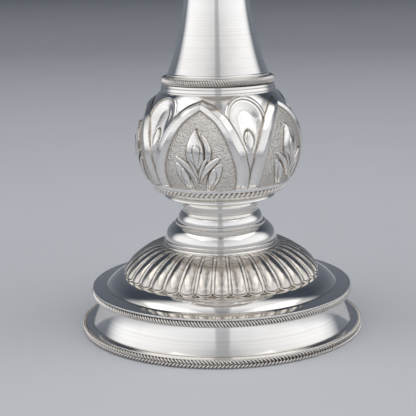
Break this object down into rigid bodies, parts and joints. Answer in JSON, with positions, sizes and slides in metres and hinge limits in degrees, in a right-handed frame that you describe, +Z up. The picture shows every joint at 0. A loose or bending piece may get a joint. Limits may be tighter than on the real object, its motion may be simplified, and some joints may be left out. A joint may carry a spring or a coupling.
{
  "type": "butter lamp",
  "caption": "Stemmed silver butter lamp with a gadrooned foot, a petalled knop, a trumpet stem and an open bowl whose socket holds a lift-out wick.",
  "frame": {"origin": "on the surface that the lamp stands on, under the centre of the foot", "axes": "+Z up along the lamp's axis, -Y towards the front of the picture"},
  "size_m": [0.0968, 0.0968, 0.1838],
  "materials": {
    "silver": "polished silver, matted in the petal fields",
    "steel": "plain drawn steel",
    "wick_wood": "bare split stick",
    "wick_cotton": "twisted raw cotton"
  },
  "bodies": {
    "lamp": {"base_plate": "silver", "foot_drum": "silver", "foot_rim_rope_lower": "silver", "foot_rim_rope_upper": "silver", "foot_plate": "silver", "plate_rope": "silver", "gadroon_dome": "silver", "dome_collar": "silver", "neck_bell": "silver", "knop_cup": "silver", "knop_cup_rope": "silver", "knop_shell": "silver", "knop_band": "silver", "knop_band_rope": "silver", "stem_ring": "silver", "stem": "silver", "stem_crown": "silver", "calyx": "silver", "calyx_rope": "silver", "bowl": "silver", "bowl_rope": "silver", "wick_socket": "silver", "tie_rod": "steel", "tie_rod_nut": "steel", "tie_rod_washer": "steel", "bridge_plate": "steel"},
    "wick": {"wick_stick": "wick_wood", "wick_cotton": "wick_cotton"}
  },
  "joints": [
    {"name": "wick_lift", "type": "slide", "parent": "lamp", "child": "wick", "axis": [0, 0, 1], "range_m": [0, 0.045]}
  ]
}
